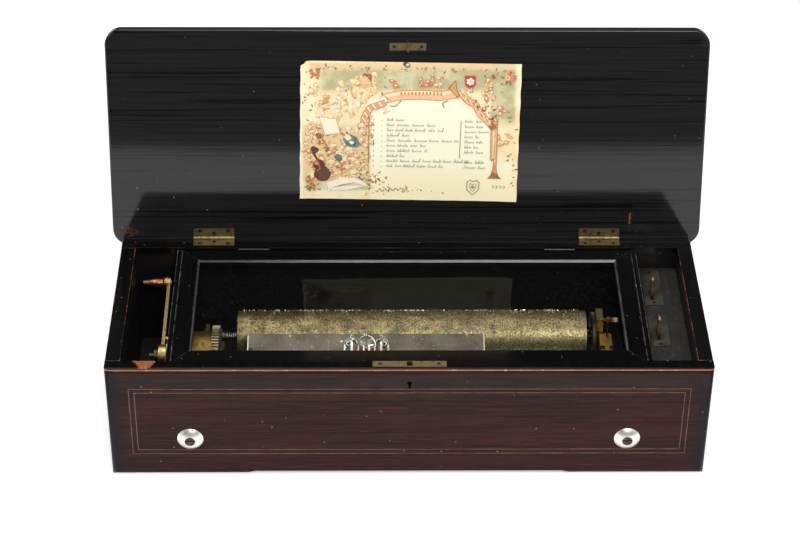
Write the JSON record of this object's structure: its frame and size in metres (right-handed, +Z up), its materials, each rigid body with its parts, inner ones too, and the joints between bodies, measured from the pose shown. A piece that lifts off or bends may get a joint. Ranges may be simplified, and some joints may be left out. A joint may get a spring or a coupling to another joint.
{
  "type": "cylinder music box",
  "caption": "Lever-wound cylinder music box: low wooden case with a hinged lid and inner glass lid over a pinned cylinder, comb, spring barrel, governor and zither bar.",
  "frame": {"origin": "middle of the bounding box's base with the lid open, on the surface the case stands on", "axes": "+X to the case's right along its length, +Y from the front towards the lid hinges, +Z up"},
  "size_m": [0.579, 0.2758, 0.3329],
  "materials": {
    "ebonised_wood": "satin",
    "rosewood_grain": "semi-gloss",
    "inner_wood": "matte",
    "aged_brass": "satin",
    "cylinder_brass": "satin",
    "nickel": "polished",
    "dull_nickel": "satin",
    "steel": "satin",
    "black_iron": "satin",
    "lead": "matte",
    "glass": "clear",
    "card": "matte",
    "tissue": "matte"
  },
  "bodies": {
    "case": {"front_board": "rosewood_grain", "back_board": "ebonised_wood", "left_side_board": "ebonised_wood", "right_side_board": "ebonised_wood", "bottom_board": "inner_wood", "partitions": "ebonised_wood", "inner_rails": "inner_wood", "control_board": "inner_wood", "control_escutcheons": "dull_nickel", "case_screws": "aged_brass", "case_bolts": "steel", "bolt_washers": "nickel", "lock_case": "aged_brass", "case_hinge_leaves": "aged_brass", "glass_hinge_case_leaves": "aged_brass", "bedplate": "black_iron", "comb_base": "aged_brass", "comb": "steel", "comb_weights": "lead", "movement_screws": "steel", "cylinder_bracket_left": "aged_brass", "cylinder_bracket_right": "aged_brass", "barrel_brackets": "aged_brass", "governor_frame": "aged_brass", "governor_cock": "aged_brass", "zither_posts": "aged_brass"},
    "lid": {"lid_panel": "ebonised_wood", "lid_hinge_leaves": "aged_brass", "lid_screws": "aged_brass", "strike_plate": "aged_brass", "tune_card": "card", "card_tack": "steel"},
    "glass_lid": {"glass_frame_long_rails": "ebonised_wood", "glass_frame_short_rails": "ebonised_wood", "glass_pane": "glass", "glass_hinge_frame_leaves": "aged_brass"},
    "winding_lever": {"lever_arm": "aged_brass", "lever_handle": "aged_brass"},
    "lever_pawl": {"lever_click": "steel"},
    "holding_pawl": {"holding_click": "steel"},
    "winding_arbor": {"barrel_arbor": "steel", "ratchet_wheel": "steel"},
    "spring_barrel": {"great_wheel": "aged_brass", "barrel_drum": "aged_brass", "mainspring": "steel"},
    "cylinder_shaft": {"cylinder_arbor": "steel", "cylinder_gears": "aged_brass", "shift_spring": "steel"},
    "cylinder": {"cylinder_tube": "cylinder_brass", "cylinder_caps": "aged_brass"},
    "tune_snail": {"snail": "steel"},
    "governor_arbor": {"governor_wheel": "aged_brass"},
    "air_brake": {"endless_screw": "steel", "fly": "aged_brass"},
    "zither": {"zither_plate": "dull_nickel", "zither_roll": "tissue", "zither_ornament": "nickel"},
    "start_control": {"start_lever": "aged_brass"},
    "change_control": {"change_lever": "aged_brass"},
    "lock_slide": {"lock_bolt": "steel"}
  },
  "joints": [
    {"name": "lid_hinge", "type": "hinge", "parent": "case", "child": "lid", "pos_m": [0, 0.07219, 0.1273], "axis": [-1, 0, 0], "range_deg": [-104.4, 0]},
    {"name": "glass_lid_hinge", "type": "hinge", "parent": "case", "child": "glass_lid", "pos_m": [0, 0.05599, 0.1248], "axis": [-1, 0, 0], "range_deg": [0, 100]},
    {"name": "winding_lever_swing", "type": "hinge", "parent": "case", "child": "winding_lever", "pos_m": [-0.2335, -0.05843, 0.084], "axis": [1, 0, 0], "range_deg": [0, 100]},
    {"name": "winding_arbor_turn", "type": "hinge", "parent": "case", "child": "winding_arbor", "pos_m": [-0.2, -0.05843, 0.084], "axis": [1, 0, 0], "range_deg": [0, 100]},
    {"name": "lever_pawl_lift", "type": "hinge", "parent": "winding_lever", "child": "lever_pawl", "pos_m": [-0.228, -0.03658, 0.0866], "axis": [-1, 0, 0], "range_deg": [0, 10], "stiffness_Nm_per_rad": 0.002, "springref_deg": -17.19},
    {"name": "holding_pawl_lift", "type": "hinge", "parent": "case", "child": "holding_pawl", "pos_m": [-0.228, -0.06943, 0.06495], "axis": [-1, 0, 0], "range_deg": [0, 8], "stiffness_Nm_per_rad": 0.002, "springref_deg": -28.65},
    {"name": "cylinder_spin", "type": "hinge", "parent": "case", "child": "cylinder_shaft", "pos_m": [0, -0.02461, 0.0805], "axis": [1, 0, 0], "continuous": true},
    {"name": "barrel_spin", "type": "hinge", "parent": "case", "child": "spring_barrel", "pos_m": [-0.2, -0.05843, 0.084], "axis": [1, 0, 0], "continuous": true},
    {"name": "governor_spin", "type": "hinge", "parent": "case", "child": "governor_arbor", "pos_m": [0.19, -0.04841, 0.06908], "axis": [1, 0, 0], "continuous": true},
    {"name": "air_brake_spin", "type": "hinge", "parent": "case", "child": "air_brake", "pos_m": [0.191, -0.03861, 0.08], "axis": [0, 0, 1], "continuous": true},
    {"name": "snail_turn", "type": "hinge", "parent": "cylinder_shaft", "child": "tune_snail", "pos_m": [0.175, -0.02461, 0.0925], "axis": [1, 0, 0], "range_deg": [0, 324]},
    {"name": "cylinder_shift", "type": "slide", "parent": "cylinder_shaft", "child": "cylinder", "axis": [-1, 0, 0], "range_m": [0, 0.00306], "deforming": ["shift_spring"]},
    {"name": "start_lever_swing", "type": "hinge", "parent": "case", "child": "start_control", "pos_m": [0.2377, -0.04861, 0.066], "axis": [1, 0, 0], "range_deg": [0, 8]},
    {"name": "change_lever_swing", "type": "hinge", "parent": "case", "child": "change_control", "pos_m": [0.2377, 0.01339, 0.066], "axis": [1, 0, 0], "range_deg": [0, 8]},
    {"name": "zither_lift", "type": "hinge", "parent": "case", "child": "zither", "pos_m": [-0.04, -0.08361, 0.09], "axis": [1, 0, 0], "range_deg": [0, 9]},
    {"name": "lock_bolt_slide", "type": "slide", "parent": "case", "child": "lock_slide", "axis": [1, 0, 0], "range_m": [0, 0.006]}
  ],
  "couplings": [
    {"joint": "winding_arbor_turn", "follows": "winding_lever_swing", "ratio": 1},
    {"joint": "barrel_spin", "follows": "cylinder_spin", "ratio": -0.21429},
    {"joint": "governor_spin", "follows": "cylinder_spin", "ratio": -6.3333},
    {"joint": "air_brake_spin", "follows": "cylinder_spin", "ratio": 152},
    {"joint": "snail_turn", "follows": "cylinder_shift", "rad_per_m": 1847.9}
  ]
}
